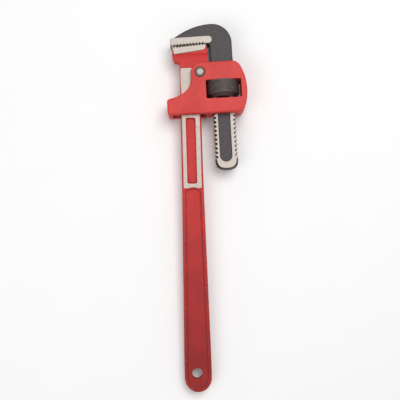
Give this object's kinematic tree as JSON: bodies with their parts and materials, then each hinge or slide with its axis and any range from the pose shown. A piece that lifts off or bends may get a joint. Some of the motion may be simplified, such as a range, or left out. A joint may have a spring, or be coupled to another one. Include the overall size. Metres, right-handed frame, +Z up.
{
  "type": "pipe wrench",
  "caption": "Straight pipe wrench: pivoting frame on a flat-bar handle, toothed heel jaw, and a threaded hook jaw moved by a captive nut.",
  "frame": {"origin": "middle of the footprint, on the surface that the wrench lies on", "axes": "+Y from the handle's end towards the jaws, +Z up out of the front face, mouth open towards -X"},
  "size_m": [0.0866, 0.3902, 0.0357],
  "materials": {
    "red_paint": "semi-gloss enamel, bare ground pads on the handle",
    "bare_steel": "ground and hardened",
    "black_steel": "black oxide on forged steel, ground on the tooth pad, the shank's rims and the thread crests",
    "nut_steel": "dark browned steel, knurled rim",
    "spring_steel": "blued spring steel"
  },
  "bodies": {
    "handle": {"handle": "red_paint", "heel_jaw": "bare_steel", "heel_jaw_pin": "bare_steel"},
    "frame": {"frame": "red_paint", "frame_pin": "bare_steel", "front_spring": "spring_steel", "front_spring_rivet": "bare_steel", "back_spring": "spring_steel", "back_spring_rivet": "bare_steel"},
    "nut": {"adjusting_nut": "nut_steel"},
    "hook": {"hook_jaw": "black_steel"}
  },
  "joints": [
    {"name": "frame_rock", "type": "hinge", "parent": "handle", "child": "frame", "pos_m": [-0.00771, 0.14053, 0.01675], "axis": [-0.0616, -0.0289, 0.9977], "range_deg": [0, 2], "stiffness_Nm_per_rad": 3, "springref_deg": -3.44, "deforming": ["front_spring"]},
    {"name": "nut_turn", "type": "hinge", "parent": "frame", "child": "nut", "pos_m": [0.01696, 0.12376, 0.01779], "axis": [0.0522, -0.9983, -0.0257], "range_deg": [0, 4681]},
    {"name": "jaw_slide", "type": "slide", "parent": "frame", "child": "hook", "axis": [-0.0522, 0.9983, 0.0257], "range_m": [0, 0.0611]}
  ],
  "couplings": [
    {"joint": "nut_turn", "follows": "jaw_slide", "rad_per_m": 1336.8}
  ]
}
